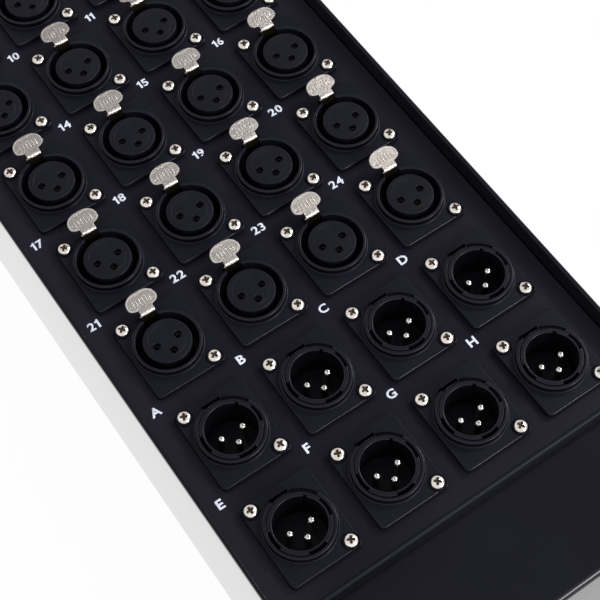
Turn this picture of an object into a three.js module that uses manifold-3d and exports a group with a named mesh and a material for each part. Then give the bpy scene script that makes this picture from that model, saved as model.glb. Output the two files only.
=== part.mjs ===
// Stage box of an audio snake: a folded steel tray, and set down into it a connector panel with six
// rows of female inputs, each with its push latch, and two rows of male returns. The cable enters
// through a gland in the far end wall, and its cores fan out to the sockets as a loom.
// Millimetres. +Z is up, +X runs across the panel and +Y from the returns to the first inputs.
// The origin is the middle of the bottom of the bounding box.

import * as THREE from 'three';
import { mergeVertices } from 'three/addons/utils/BufferGeometryUtils.js';
import Module from 'manifold-3d';

const wasm = await Module();
wasm.setup();

// Sheet metal and clearances
const sheet = 1.5; // thickness of the tray and the panel
const bendRadius = 2; // outside of every fold
const seatGap = 0.1; // under a piece that rests on another
const fitGap = 0.3; // round a piece in its hole or between two walls
const cutOverrun = 2; // how far a cutter runs past the face that it cuts

// Three pin pattern
const pinCircleRadius = 3.81;
const pinRadius = 1.2;
const pinTipLength = 0.7; // tapered end of a pin
const pinTipShare = 0.5; // of the radius that is left at the tip
const pinHoleGap = 0.1; // round a pin in its hole
const pinHoleDepth = 5;

// Shell of a socket, from the middle out
const insertRadius = 7.7;
const grooveWidth = 2.1;
const shellWall = 1.1; // at the top of the raised shell
const shellFlare = 0.6; // wider at its foot
const shellRise = 2.4; // above the flange of an input
const insertDrop = 0.2; // from the top of the shell to the face of the insert
const returnWall = 2.75; // between a return's bore and the top of its shell
const returnRise = 2.4; // above the flange of a return
const returnPinDrop = 0.3; // from the face of the flange to the tip of a pin
const engagementDepth = 10.5; // groove and bore below the face of the flange
const rearStep = 0.1; // the body behind the flange is wider than the foot of the shell
const rearFloor = 8; // behind the groove and the bore

// Flange
const flangeLap = 0.4; // past the panel's hole, at each side
const flangeHeight = 29;
const flangeThickness = 2;
const flangeCorner = 1.7;
const screwSideInset = 2.8; // from the long edge of the flange
const screwEndInset = 2.5; // from its short edge
const screwHoleRadius = 1.6;

// Push latch of an input
const tabRise = 4.4; // from the face of the flange to the bend over the leg
const tabThickness = 0.9;
const tabWidth = 10.7;
const tabLength = 6.1;
const tabWidestShare = 0.38; // of its length, from the near edge to its widest place
const tabStrip = 8.05; // from the bend to the far edge, up the slope
const tabSlope = THREE.MathUtils.degToRad(15);
const neckWidth = 4.8;
const legInset = 0.2; // foot of the leg, in from the inside of the shell
const legLean = 1; // from its foot out to its top under the tab
const legKnee = 2.2; // below the face of the flange, where the leg turns upright
const legDepth = 4.6; // below the face of the flange, at the foot of the leg
const slotMargin = 1.3; // between the leg and the outer end of its slot
const tabRoundness = 2.4; // power of the tab's rounded outline, where 2 is an ellipse

// Panel layout
const columns = 4;
const inputRows = 6;
const returnRows = 2;
const columnGap = 6.4; // between flanges side by side
const rowGap = 7.1; // between flanges one above the other
const wallMargin = 8.2; // from the outer flanges to the side walls
const nearMargin = 7.7; // from the last returns to the end of the panel
const farMargin = 16.5; // from the first inputs to the other end
const lipDepth = 5; // of the panel's folded ends

// Tray
const panelRecess = 6.8; // from the top of the side walls down to the panel
const endShelf = 37; // from the panel to each end of the tray
const shelfLap = 5; // of a shelf under the panel
const wallCornerRadius = 10; // at the upper ends of the side walls

// Cable gland
const cableBore = 12.5;
const glandWall = 5; // of its threaded neck
const glandHexMargin = 3.6; // from the neck to the flats of its hexagons
const glandHexThickness = 7;
const glandNutLength = 14; // domed nut outside
const glandNutStep = 1.2; // from the flats of the hexagon to the nut
const glandNutTaper = 4.5; // from the nut's foot to its mouth
const lockNutThickness = 5;
const glandClearance = 2.05; // above and below its hexagons, inside the tray
const glandTail = 3; // of the neck past the lock nut

// Wiring loom
const trunkRadius = 6;
const trunkStart = 12; // from the gland's inner end
const branchRadius = 1.5;
const branchSpread = 4; // between the cores of the inner and the outer sockets, along the trunk

// Facets
const roundSides = 16;
const rearSides = 12;
const smallSides = 6;
const coreSides = 4;
const cornerSteps = 2;
const bendSteps = 3;
const tabSteps = 12;
const branchSteps = 3;

// Sizes that follow from these
const shellInnerRadius = insertRadius + grooveWidth;
const shellTopRadius = shellInnerRadius + shellWall;
const shellFootRadius = shellTopRadius + shellFlare;
const rearRadius = shellFootRadius + rearStep;
const panelHoleRadius = rearRadius + fitGap;
const returnBoreRadius = shellTopRadius - returnWall;
const rearDepth = engagementDepth - flangeThickness + rearFloor;
const flangeWidth = 2 * (panelHoleRadius + flangeLap);
const screwX = flangeWidth / 2 - screwSideInset;
const screwY = flangeHeight / 2 - screwEndInset;
const legFoot = shellInnerRadius - legInset;
const legTop = legFoot + legLean;

const rows = returnRows + inputRows;
const columnPitch = flangeWidth + columnGap;
const rowPitch = flangeHeight + rowGap;
const innerWidth = columns * flangeWidth + (columns - 1) * columnGap + 2 * wallMargin;
const outerWidth = innerWidth + 2 * sheet;
const panelLength = rows * flangeHeight + (rows - 1) * rowGap + nearMargin + farMargin;
const trayLength = panelLength + 2 * endShelf;

const neckRadius = cableBore + glandWall;
const hexFlats = neckRadius + glandHexMargin;
const hexRadius = hexFlats / Math.cos(Math.PI / 6);
const nutFootRadius = hexFlats - glandNutStep;
const glandReach = seatGap + glandHexThickness + glandNutLength;
const glandInside = sheet + seatGap + lockNutThickness + glandTail;
const glandHeight = sheet + glandClearance + hexFlats;
const shelfTop = glandHeight + hexFlats + glandClearance + sheet;
const lipBottom = shelfTop + seatGap;
const panelTop = lipBottom + lipDepth;
const boxHeight = panelTop + panelRecess;
const flangeBottom = panelTop + seatGap;

const trayNear = -(trayLength + glandReach) / 2;
const trayFar = trayNear + trayLength;
const panelNear = trayNear + endShelf;
const panelFar = panelNear + panelLength;
const rearBottom = flangeBottom - rearDepth;

// Materials
const panelPaint = new THREE.MeshStandardMaterial({ color: 0x1e1f26, roughness: 0.5, metalness: 0.2 });
const trayPaint = new THREE.MeshStandardMaterial({ color: 0x222326, roughness: 0.45, metalness: 0.3 });
const socketBlack = new THREE.MeshStandardMaterial({ color: 0x1c1d23, roughness: 0.42, metalness: 0.1 });
const latchNickel = new THREE.MeshStandardMaterial({ color: 0xb4ada9, roughness: 0.35, metalness: 0.9 });
const glandNickel = new THREE.MeshStandardMaterial({ color: 0x9c9a96, roughness: 0.4, metalness: 0.9 });
const loomJacket = new THREE.MeshStandardMaterial({ color: 0x16161a, roughness: 0.6, metalness: 0 });

// A closed geometry as a solid for joining and cutting, and back again
function solidOf(geometry) {
  const bare = geometry.clone();
  bare.deleteAttribute('normal');
  bare.deleteAttribute('uv');
  const welded = mergeVertices(bare);
  return new wasm.Manifold(new wasm.Mesh({
    numProp: 3,
    vertProperties: new Float32Array(welded.attributes.position.array),
    triVerts: new Uint32Array(welded.index.array),
  }));
}

function geometryOf(solid) {
  const mesh = solid.getMesh();
  const geometry = new THREE.BufferGeometry();
  geometry.setAttribute('position', new THREE.BufferAttribute(mesh.vertProperties, mesh.numProp));
  geometry.setIndex(new THREE.BufferAttribute(mesh.triVerts, 1));
  return geometry;
}

// Upright round bar between two heights, with its top as wide as its bottom unless said otherwise
function bar(radius, bottom, top, sides = roundSides, topRadius = radius) {
  const geometry = new THREE.CylinderGeometry(topRadius, radius, top - bottom, sides);
  geometry.rotateX(Math.PI / 2);
  geometry.translate(0, 0, (top + bottom) / 2);
  return geometry;
}

// The same bar lying along Y, between two places, with a flat underneath
function barAlongY(radius, near, far, sides = roundSides, farRadius = radius) {
  const flatDown = Math.PI / sides;
  const geometry = new THREE.CylinderGeometry(farRadius, radius, far - near, sides, 1, false, flatDown);
  geometry.translate(0, (far + near) / 2, 0);
  return geometry;
}

// Block between two corners
function block(low, high) {
  const geometry = new THREE.BoxGeometry(high[0] - low[0], high[1] - low[1], high[2] - low[2]);
  geometry.translate((high[0] + low[0]) / 2, (high[1] + low[1]) / 2, (high[2] + low[2]) / 2);
  return geometry;
}

function moved(geometry, x, y, z = 0) {
  return geometry.clone().translate(x, y, z);
}

function extruded(shape, depth, curveSegments = bendSteps) {
  return new THREE.ExtrudeGeometry(shape, { depth, bevelEnabled: false, curveSegments });
}

// A regular outline of a few sides round a middle, as a hole or as the section of a thin bar
function regularOutline(outline, middleX, middleY, radius, sides) {
  for (let step = 0; step < sides; step += 1) {
    const angle = (2 * Math.PI * step) / sides;
    const x = middleX + radius * Math.cos(angle);
    const y = middleY + radius * Math.sin(angle);
    if (step === 0) {
      outline.moveTo(x, y);
    } else {
      outline.lineTo(x, y);
    }
  }
  return outline;
}

// An outline drawn in Y and Z, run along X to the same distance on both sides
function acrossX(shape, width) {
  const geometry = extruded(shape, width);
  geometry.translate(0, 0, -width / 2);
  const turn = new THREE.Matrix4().makeBasis(
    new THREE.Vector3(0, 1, 0),
    new THREE.Vector3(0, 0, 1),
    new THREE.Vector3(1, 0, 0),
  );
  return geometry.applyMatrix4(turn);
}

// An outline drawn in X and Z, run along Y between two places
function alongY(shape, near, far) {
  const geometry = extruded(shape, far - near);
  geometry.rotateX(Math.PI / 2);
  return geometry.translate(0, far, 0);
}

function roundedRectangle(left, bottom, right, top, radius) {
  const shape = new THREE.Shape();
  shape.moveTo(left + radius, bottom);
  shape.lineTo(right - radius, bottom);
  shape.absarc(right - radius, bottom + radius, radius, -Math.PI / 2, 0);
  shape.lineTo(right, top - radius);
  shape.absarc(right - radius, top - radius, radius, 0, Math.PI / 2);
  shape.lineTo(left + radius, top);
  shape.absarc(left + radius, top - radius, radius, Math.PI / 2, Math.PI);
  shape.lineTo(left, bottom + radius);
  shape.absarc(left + radius, bottom + radius, radius, Math.PI, 1.5 * Math.PI);
  return shape;
}

// Where the three pins stand, seen from the front: left, right and below the middle
const pinPlaces = [Math.PI, 0, -Math.PI / 2].map((angle) => ({
  x: pinCircleRadius * Math.cos(angle),
  y: pinCircleRadius * Math.sin(angle),
}));

// The flange and the round body behind it, the same on both kinds of socket. Height zero is the
// flange's back face.
function socketBody() {
  const outline = roundedRectangle(
    -flangeWidth / 2, -flangeHeight / 2, flangeWidth / 2, flangeHeight / 2, flangeCorner,
  );
  for (const side of [-1, 1]) {
    const hole = new THREE.Path();
    outline.holes.push(regularOutline(hole, side * screwX, -side * screwY, screwHoleRadius, smallSides));
  }
  const flange = solidOf(extruded(outline, flangeThickness, cornerSteps));
  return flange.add(solidOf(bar(rearRadius, -rearDepth, flangeThickness / 2, rearSides)));
}

// Female input: a raised shell round an insert with three pin holes, a deep ring groove between
// them, and a slot through the top of the shell for the latch
function inputSocket() {
  const shellTop = flangeThickness + shellRise;
  const insertTop = shellTop - insertDrop;
  const grooveBottom = flangeThickness - engagementDepth;
  const shell = bar(shellFootRadius, flangeThickness / 2, shellTop, roundSides, shellTopRadius);
  const hollow = bar(shellInnerRadius, grooveBottom, shellTop + cutOverrun);
  const insert = bar(insertRadius, grooveBottom - rearFloor / 2, insertTop);
  const slot = block(
    [-neckWidth / 2 - fitGap, insertRadius + grooveWidth / 2, flangeThickness - legDepth - fitGap],
    [neckWidth / 2 + fitGap, legTop + tabThickness + slotMargin, shellTop + cutOverrun],
  );
  let solid = socketBody().add(solidOf(shell)).subtract(solidOf(hollow)).subtract(solidOf(slot));
  solid = solid.add(solidOf(insert));
  for (const place of pinPlaces) {
    const hole = bar(pinRadius + pinHoleGap, insertTop - pinHoleDepth, insertTop + cutOverrun, smallSides);
    solid = solid.subtract(solidOf(moved(hole, place.x, place.y)));
  }
  return geometryOf(solid);
}

// Male return: a thick ring round a deep bore with three pins standing on its floor
function returnSocket() {
  const ringTop = flangeThickness + returnRise;
  const boreBottom = flangeThickness - engagementDepth;
  const pinTop = flangeThickness - returnPinDrop;
  const ring = bar(shellFootRadius, flangeThickness / 2, ringTop, roundSides, shellTopRadius);
  const bore = bar(returnBoreRadius, boreBottom, ringTop + cutOverrun);
  let solid = socketBody().add(solidOf(ring)).subtract(solidOf(bore));
  for (const place of pinPlaces) {
    const stem = bar(pinRadius, boreBottom - rearFloor / 2, pinTop - pinTipLength, smallSides);
    const tip = bar(
      pinRadius, pinTop - pinTipLength, pinTop, smallSides, pinRadius * pinTipShare,
    );
    const pin = solidOf(stem).add(solidOf(tip));
    solid = solid.add(pin.translate(place.x, place.y, 0));
  }
  return geometryOf(solid);
}

// Push latch: a rounded tab that slopes up over the flange, and a leg that goes down into the
// socket's slot. The tab is drawn flat, with its bend at zero, and then turned.
function pushTab() {
  const top = flangeThickness + tabRise;
  const nearLength = tabLength * tabWidestShare;
  const farLength = tabLength - nearLength;
  const middle = tabStrip - farLength;
  const head = new THREE.Shape();
  for (let step = 0; step < tabSteps; step += 1) {
    const angle = (2 * Math.PI * (step + 0.5)) / tabSteps;
    const across = Math.cos(angle);
    const along = Math.sin(angle);
    const stretch = (Math.abs(across) ** tabRoundness + Math.abs(along) ** tabRoundness) ** (-1 / tabRoundness);
    const x = (tabWidth / 2) * across * stretch;
    const y = middle + (along > 0 ? farLength : nearLength) * along * stretch;
    if (step === 0) {
      head.moveTo(x, y);
    } else {
      head.lineTo(x, y);
    }
  }
  const tab = extruded(head, tabThickness).translate(0, 0, -tabThickness);
  tab.rotateX(tabSlope).translate(0, legTop, top);

  const origin = new THREE.Vector2();
  const bend = new THREE.Vector2(legTop, top);
  const under = new THREE.Vector2(tabThickness, -tabThickness).rotateAround(origin, tabSlope).add(bend);
  const end = new THREE.Vector2(middle, 0).rotateAround(origin, tabSlope).add(bend);
  const endUnder = new THREE.Vector2(middle, -tabThickness).rotateAround(origin, tabSlope).add(bend);
  const knee = flangeThickness - legKnee;
  const foot = flangeThickness - legDepth;
  const leg = new THREE.Shape();
  leg.moveTo(bend.x, bend.y);
  leg.lineTo(legFoot, knee);
  leg.lineTo(legFoot, foot);
  leg.lineTo(legFoot + tabThickness, foot);
  leg.lineTo(legFoot + tabThickness, knee);
  leg.lineTo(under.x, under.y);
  leg.lineTo(endUnder.x, endUnder.y);
  leg.lineTo(end.x, end.y);
  return geometryOf(solidOf(tab).add(solidOf(acrossX(leg, neckWidth))));
}

// Tray: floor and side walls folded from one sheet, rounded at the upper ends, with two end walls
// that fold inwards as shelves under the ends of the panel
function baseTray() {
  const side = outerWidth / 2;
  const inside = bendRadius - sheet;
  const channel = new THREE.Shape();
  channel.moveTo(-side, boxHeight);
  channel.lineTo(-side, bendRadius);
  channel.absarc(-side + bendRadius, bendRadius, bendRadius, Math.PI, 1.5 * Math.PI);
  channel.lineTo(side - bendRadius, 0);
  channel.absarc(side - bendRadius, bendRadius, bendRadius, -Math.PI / 2, 0);
  channel.lineTo(side, boxHeight);
  channel.lineTo(side - sheet, boxHeight);
  channel.lineTo(side - sheet, bendRadius);
  channel.absarc(side - bendRadius, bendRadius, inside, 0, -Math.PI / 2, true);
  channel.lineTo(-side + bendRadius, sheet);
  channel.absarc(-side + bendRadius, bendRadius, inside, -Math.PI / 2, -Math.PI, true);
  channel.lineTo(-side + sheet, boxHeight);

  const profile = new THREE.Shape();
  profile.moveTo(trayNear, 0);
  profile.lineTo(trayFar, 0);
  profile.lineTo(trayFar, boxHeight - wallCornerRadius);
  profile.absarc(
    trayFar - wallCornerRadius, boxHeight - wallCornerRadius, wallCornerRadius, 0, Math.PI / 2,
  );
  profile.lineTo(trayNear + wallCornerRadius, boxHeight);
  profile.absarc(
    trayNear + wallCornerRadius, boxHeight - wallCornerRadius, wallCornerRadius, Math.PI / 2, Math.PI,
  );
  const trim = acrossX(profile, outerWidth + 2 * cutOverrun);
  let solid = solidOf(alongY(channel, trayNear, trayFar)).intersect(solidOf(trim));

  for (const end of [-1, 1]) {
    const wall = new THREE.Shape();
    const outer = (trayLength / 2) * end;
    const lap = end * (trayLength / 2 - endShelf - shelfLap);
    const turn = outer - end * bendRadius;
    const level = shelfTop - bendRadius;
    wall.moveTo(outer, sheet / 2);
    wall.lineTo(outer, level);
    wall.absarc(turn, level, bendRadius, end > 0 ? 0 : Math.PI, Math.PI / 2, end < 0);
    wall.lineTo(lap, shelfTop);
    wall.lineTo(lap, shelfTop - sheet);
    wall.lineTo(turn, shelfTop - sheet);
    wall.absarc(turn, level, inside, Math.PI / 2, end > 0 ? 0 : Math.PI, end > 0);
    wall.lineTo(outer - end * sheet, sheet / 2);
    const plate = acrossX(wall, innerWidth + sheet);
    solid = solid.add(solidOf(moved(plate, 0, (trayNear + trayFar) / 2)));
  }
  const cableHole = barAlongY(neckRadius + fitGap, trayFar - sheet - cutOverrun, trayFar + cutOverrun);
  return geometryOf(solid.subtract(solidOf(moved(cableHole, 0, 0, glandHeight))));
}

// Where each socket sits: row 0 is nearest, column 0 is at the left
function socketPlace(row, column) {
  return {
    x: (column - (columns - 1) / 2) * columnPitch,
    y: panelNear + nearMargin + flangeHeight / 2 + row * rowPitch,
  };
}

// Panel: a flat plate folded down at both ends, with a round hole for each socket
function connectorPanel() {
  const inside = bendRadius - sheet;
  const level = panelTop - bendRadius;
  const fold = new THREE.Shape();
  fold.moveTo(panelNear, lipBottom);
  fold.lineTo(panelNear + sheet, lipBottom);
  fold.lineTo(panelNear + sheet, level);
  fold.absarc(panelNear + bendRadius, level, inside, Math.PI, Math.PI / 2, true);
  fold.lineTo(panelFar - bendRadius, panelTop - sheet);
  fold.absarc(panelFar - bendRadius, level, inside, Math.PI / 2, 0, true);
  fold.lineTo(panelFar - sheet, lipBottom);
  fold.lineTo(panelFar, lipBottom);
  fold.lineTo(panelFar, level);
  fold.absarc(panelFar - bendRadius, level, bendRadius, 0, Math.PI / 2);
  fold.lineTo(panelNear + bendRadius, panelTop);
  fold.absarc(panelNear + bendRadius, level, bendRadius, Math.PI / 2, Math.PI);
  let solid = solidOf(acrossX(fold, innerWidth - 2 * fitGap));

  const low = panelTop - sheet - cutOverrun;
  const high = panelTop + cutOverrun;
  const socketHole = solidOf(bar(panelHoleRadius, low, high, rearSides));
  for (let row = 0; row < rows; row += 1) {
    for (let column = 0; column < columns; column += 1) {
      const { x, y } = socketPlace(row, column);
      solid = solid.subtract(socketHole.translate(x, y, 0));
    }
  }
  return geometryOf(solid);
}

// Gland: a threaded neck through the far end wall with a hexagon and a domed nut outside, a lock
// nut inside and the cable's bore right through
function cableGland() {
  const outside = trayFar + seatGap;
  const hexEnd = outside + glandHexThickness;
  const nutEnd = hexEnd + glandNutLength;
  const lockNear = trayFar - sheet - seatGap - lockNutThickness;
  const neckNear = lockNear - glandTail;
  const parts = [
    barAlongY(neckRadius, neckNear, outside + glandHexThickness / 2),
    barAlongY(hexRadius, outside, hexEnd, 6),
    barAlongY(nutFootRadius, outside + glandHexThickness / 2, nutEnd, roundSides, nutFootRadius - glandNutTaper),
    barAlongY(hexRadius, lockNear, lockNear + lockNutThickness, 6),
  ];
  let solid = solidOf(parts[0]);
  for (const part of parts.slice(1)) {
    solid = solid.add(solidOf(part));
  }
  const bore = barAlongY(cableBore, neckNear - cutOverrun, nutEnd + cutOverrun);
  return geometryOf(solid.subtract(solidOf(bore)));
}

// Loom: a trunk along the middle of the box, with a core from it up to the back of each socket
function wiringLoom() {
  const first = socketPlace(0, 0).y;
  const last = trayFar - glandInside - trunkStart;
  const trunk = barAlongY(trunkRadius, first - branchSpread - trunkRadius, last, smallSides + 2);
  let solid = solidOf(moved(trunk, 0, 0, glandHeight));
  const section = regularOutline(new THREE.Shape(), 0, 0, branchRadius, coreSides);
  for (let row = 0; row < rows; row += 1) {
    for (let column = 0; column < columns; column += 1) {
      const { x, y } = socketPlace(row, column);
      const outer = column === 0 || column === columns - 1;
      const leave = y + (outer ? -branchSpread : branchSpread);
      const route = new THREE.QuadraticBezierCurve3(
        new THREE.Vector3(0, leave, glandHeight),
        new THREE.Vector3(x, y, glandHeight),
        new THREE.Vector3(x, y, rearBottom - fitGap),
      );
      const branch = new THREE.ExtrudeGeometry(section, {
        extrudePath: route, steps: branchSteps, bevelEnabled: false,
      });
      solid = solid.add(solidOf(branch));
    }
  }
  return geometryOf(solid);
}

const stageBox = new THREE.Group();

function place(name, geometry, material, x = 0, y = 0, z = 0) {
  const mesh = new THREE.Mesh(geometry, material);
  mesh.name = name;
  mesh.position.set(x, y, z);
  stageBox.add(mesh);
}

place('base_tray', baseTray(), trayPaint);
place('connector_panel', connectorPanel(), panelPaint);
place('cable_gland', moved(cableGland(), 0, 0, glandHeight), glandNickel);
place('wiring_loom', wiringLoom(), loomJacket);

const inputShape = inputSocket();
const tabShape = pushTab();
const returnShape = returnSocket();
const returnLetters = 'ABCDEFGH';

for (let count = 0; count < inputRows * columns; count += 1) {
  const row = rows - 1 - Math.floor(count / columns);
  const { x, y } = socketPlace(row, count % columns);
  const number = String(count + 1).padStart(2, '0');
  place(`input_socket_${number}`, inputShape, socketBlack, x, y, flangeBottom);
  place(`push_tab_${number}`, tabShape, latchNickel, x, y, flangeBottom);
}

for (let count = 0; count < returnRows * columns; count += 1) {
  const row = returnRows - 1 - Math.floor(count / columns);
  const { x, y } = socketPlace(row, count % columns);
  place(`return_socket_${returnLetters[count]}`, returnShape, socketBlack, x, y, flangeBottom);
}

export default stageBox;
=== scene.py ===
# Stage box of an audio snake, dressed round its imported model: a folded steel tray, a sunk connector
# panel, 24 inputs with push latches, 8 returns, their screws, the printed numbers, the gland and the
# loom inside. Sizes in the dictionaries are millimetres unless a note says otherwise.
from math import atan2, cos, degrees, pi, radians, sin, sqrt, tan
from random import Random

import bmesh
import bpy
from mathutils import Euler, Matrix, Vector


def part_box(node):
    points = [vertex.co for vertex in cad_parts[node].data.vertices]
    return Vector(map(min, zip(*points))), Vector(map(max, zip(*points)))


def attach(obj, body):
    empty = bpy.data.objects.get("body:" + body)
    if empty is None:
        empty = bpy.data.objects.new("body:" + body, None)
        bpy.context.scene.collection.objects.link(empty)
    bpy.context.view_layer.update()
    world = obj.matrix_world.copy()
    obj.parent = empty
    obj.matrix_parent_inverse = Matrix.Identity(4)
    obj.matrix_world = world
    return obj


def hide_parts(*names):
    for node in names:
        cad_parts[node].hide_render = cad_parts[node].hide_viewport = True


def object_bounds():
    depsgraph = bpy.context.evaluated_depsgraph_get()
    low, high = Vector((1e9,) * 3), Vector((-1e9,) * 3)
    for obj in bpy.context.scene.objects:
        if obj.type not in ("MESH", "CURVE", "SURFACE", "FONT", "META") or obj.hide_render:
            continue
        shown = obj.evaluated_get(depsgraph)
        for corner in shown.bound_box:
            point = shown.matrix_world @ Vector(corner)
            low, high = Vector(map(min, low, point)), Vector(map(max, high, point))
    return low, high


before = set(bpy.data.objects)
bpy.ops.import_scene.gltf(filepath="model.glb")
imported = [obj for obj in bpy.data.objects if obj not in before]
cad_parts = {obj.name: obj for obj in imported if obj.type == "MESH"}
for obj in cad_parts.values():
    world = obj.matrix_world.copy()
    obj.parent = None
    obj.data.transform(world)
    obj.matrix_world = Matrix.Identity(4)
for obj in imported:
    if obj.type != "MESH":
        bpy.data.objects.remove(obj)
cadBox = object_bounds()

mm = 0.001
scene = bpy.context.scene
rootBody = "stage_box"
print("frame loaded,", len(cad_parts), "nodes")


# A new object in the scene
def linked(name, data):
    made = bpy.data.objects.new(name, data)
    scene.collection.objects.link(made)
    return made


# The mesh that an object comes to with its modifiers
def evaluated(thing):
    graph = bpy.context.evaluated_depsgraph_get()
    return bpy.data.meshes.new_from_object(thing.evaluated_get(graph), depsgraph=graph)


# Camera first. Place and aim are in the row frame, found by fitting the socket pattern.
cameraSet = {
    "place": (-118.77, -260.33, 443.59),
    "aim": (-3.744, -78.816, 54.4),
    "roll": -2.442,  # degrees, about the line of sight
    "lens": 84.52,
    "sensor": 36,
    "nearClip": 0.01,  # metres
}


def makeCamera(s):
    data = bpy.data.cameras.new("camera")
    data.lens = s["lens"]
    data.sensor_width = s["sensor"]
    data.clip_start = s["nearClip"]
    camera = linked("camera", data)
    place = Vector(s["place"]) * mm
    look = (Vector(s["aim"]) * mm - place).to_track_quat("-Z", "Y")
    camera.location = place
    camera.rotation_mode = "QUATERNION"
    camera.rotation_quaternion = look @ Euler((0, 0, radians(s["roll"]))).to_quaternion()
    scene.camera = camera


makeCamera(cameraSet)
print("camera set")


# Shader maths: a Wire is one output of a node, and sums on it add nodes to its material
class Wire:
    def __init__(self, paint, output):
        self.paint = paint
        self.output = output

    def maths(self, operation, first, second):
        return self.paint.node("ShaderNodeMath", {"operation": operation}, {0: first, 1: second})

    def __add__(self, other):
        return self.maths("ADD", self, other)

    def __radd__(self, other):
        return self.maths("ADD", other, self)

    def __sub__(self, other):
        return self.maths("SUBTRACT", self, other)

    def __rsub__(self, other):
        return self.maths("SUBTRACT", other, self)

    def __mul__(self, other):
        return self.maths("MULTIPLY", self, other)

    def __rmul__(self, other):
        return self.maths("MULTIPLY", other, self)

    def __truediv__(self, other):
        return self.maths("DIVIDE", self, other)

    def __rtruediv__(self, other):
        return self.maths("DIVIDE", other, self)


# Where a rounded normal leans this far from the plain one, an edge counts as worn
edgeWear = {"samples": 4, "stops": [(0.02, 0), (0.2, 1)]}


# The nodes of a material or a world
class Paint:
    def __init__(self, owner, output="ShaderNodeOutputMaterial"):
        self.owner = owner
        owner.use_nodes = True
        self.tree = owner.node_tree
        self.tree.nodes.clear()
        self.output = self.tree.nodes.new(output)

    # One node: its settings are set first, then its inputs get values or wires
    def node(self, kind, settings=None, values=None, out=0):
        made = self.tree.nodes.new(kind)
        for key, value in (settings or {}).items():
            if key == "stops":
                self.setStops(made.color_ramp, value)
            else:
                setattr(made, key, value)
        for key, value in (values or {}).items():
            if isinstance(value, Wire):
                self.tree.links.new(value.output, made.inputs[key])
            else:
                made.inputs[key].default_value = value
        return Wire(self, made.outputs[out])

    def setStops(self, ramp, stops):
        while len(ramp.elements) < len(stops):
            ramp.elements.new(0.5)
        for element, (place, level) in zip(ramp.elements, stops):
            element.position = place
            element.color = (level, level, level, 1)

    def finish(self, shader):
        self.tree.links.new(shader.output, self.output.inputs["Surface"])
        return self.owner

    def place(self):
        return self.node("ShaderNodeTexCoord", out="Object")

    # Grain of a given size in millimetres, as a number about 0.5
    def grain(self, size, detail=3.0, stretch=(1, 1, 1), shift=0.0):
        place = self.node("ShaderNodeMapping", {}, {
            "Vector": self.place(), "Scale": stretch, "Location": (shift,) * 3})
        return self.node("ShaderNodeTexNoise", {}, {
            "Vector": place, "Scale": 1 / (size * mm), "Detail": detail})

    def ramp(self, value, stops):
        return self.node("ShaderNodeValToRGB", {"stops": stops}, {"Fac": value})

    # Two colours mixed, each a wire or a colour as on screen
    def blend(self, share, first, second):
        first, second = (c if isinstance(c, Wire) else screen(*c) for c in (first, second))
        return self.node("ShaderNodeMix", {"data_type": "RGBA"}, {0: share, 6: first, 7: second}, 2)

    def bump(self, height, depth):
        return self.node("ShaderNodeBump", {}, {"Height": height, "Distance": depth * mm})

    def dot(self, first, second):
        return self.node("ShaderNodeVectorMath", {"operation": "DOT_PRODUCT"}, {0: first, 1: second}, "Value")

    # Convex edges as a mask from 0 to 1
    def edges(self, radius):
        plain = self.node("ShaderNodeNewGeometry", out="Normal")
        soft = self.node("ShaderNodeBevel", {"samples": edgeWear["samples"]}, {"Radius": radius * mm})
        return self.ramp(1 - self.dot(plain, soft), edgeWear["stops"])

    def surface(self, values):
        return self.finish(self.node("ShaderNodeBsdfPrincipled", {}, values))


# Colour written as on screen, from 0 to 255
def screen(red, green, blue):
    def linear(value):
        share = value / 255
        return share / 12.92 if share <= 0.04045 else ((share + 0.055) / 1.055) ** 2.4
    return (linear(red), linear(green), linear(blue), 1)


# Satin powder coat: blue black, with a fine orange peel, and edges polished by handling
panelCoat = {
    "colour": (17, 16, 26), "dust": (29, 28, 38), "dustStops": [(0.35, 0), (0.75, 0.45)],
    "cloudSize": 38, "cloudShift": 0.4,
    "rubbed": (46, 47, 58), "rubbedStops": [(0.42, 0), (0.7, 0.5)], "rubbedSize": 2.4, "rubbedShift": 0.9,
    "edgeRadius": 0.4, "grainSize": 0.35, "grainDepth": 0.012, "roughness": 0.38, "roughnessSpread": 0.1,
    "specular": 0.12, "coatIor": 1.7, "coatRoughness": 0.16,
}
# On the panel a lighter tone is painted along the side walls, between these distances from its middle:
# painted light against the shade of the walls
topCoat = dict(panelCoat, paintedLightFrom=53, paintedLightTo=66, paintedLightAlong=(30, 29, 39))
# The bends get a darker copy of the coat: painted shade
bendShadeCoat = dict(panelCoat, colour=(8, 11, 17), dust=(13, 17, 25), specular=0.08, coat=0.0)
shellCoat = dict(panelCoat, colour=(14, 14, 24), dust=(23, 24, 35), grainSize=0.28, grainDepth=0.008,
                 cloudSize=16, coat=0.0)
# A darker, duller copy of the shell coat for upright sides, the bore and hollows: painted shade
sideShadeCoat = dict(shellCoat, colour=(10, 10, 15), dust=(16, 16, 22), specular=0.03)
# A lighter, glossier copy of the shell coat for edges: polish, and a painted highlight
edgePolishAndHighlightCoat = dict(shellCoat, colour=(17, 17, 26), roughness=0.36, specular=0.2, coat=0.08)
trayCoat = dict(panelCoat, colour=(12, 12, 20), dust=(20, 21, 30), grainDepth=0.002, roughness=0.2,
                roughnessSpread=0.06, specular=0.3, coat=0.0)
# The outside of the side walls is a high gloss
wallCoat = dict(trayCoat, roughness=0.1, specular=1.0, coat=1.0, coatIor=3.9, coatRoughness=0.04)


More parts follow.
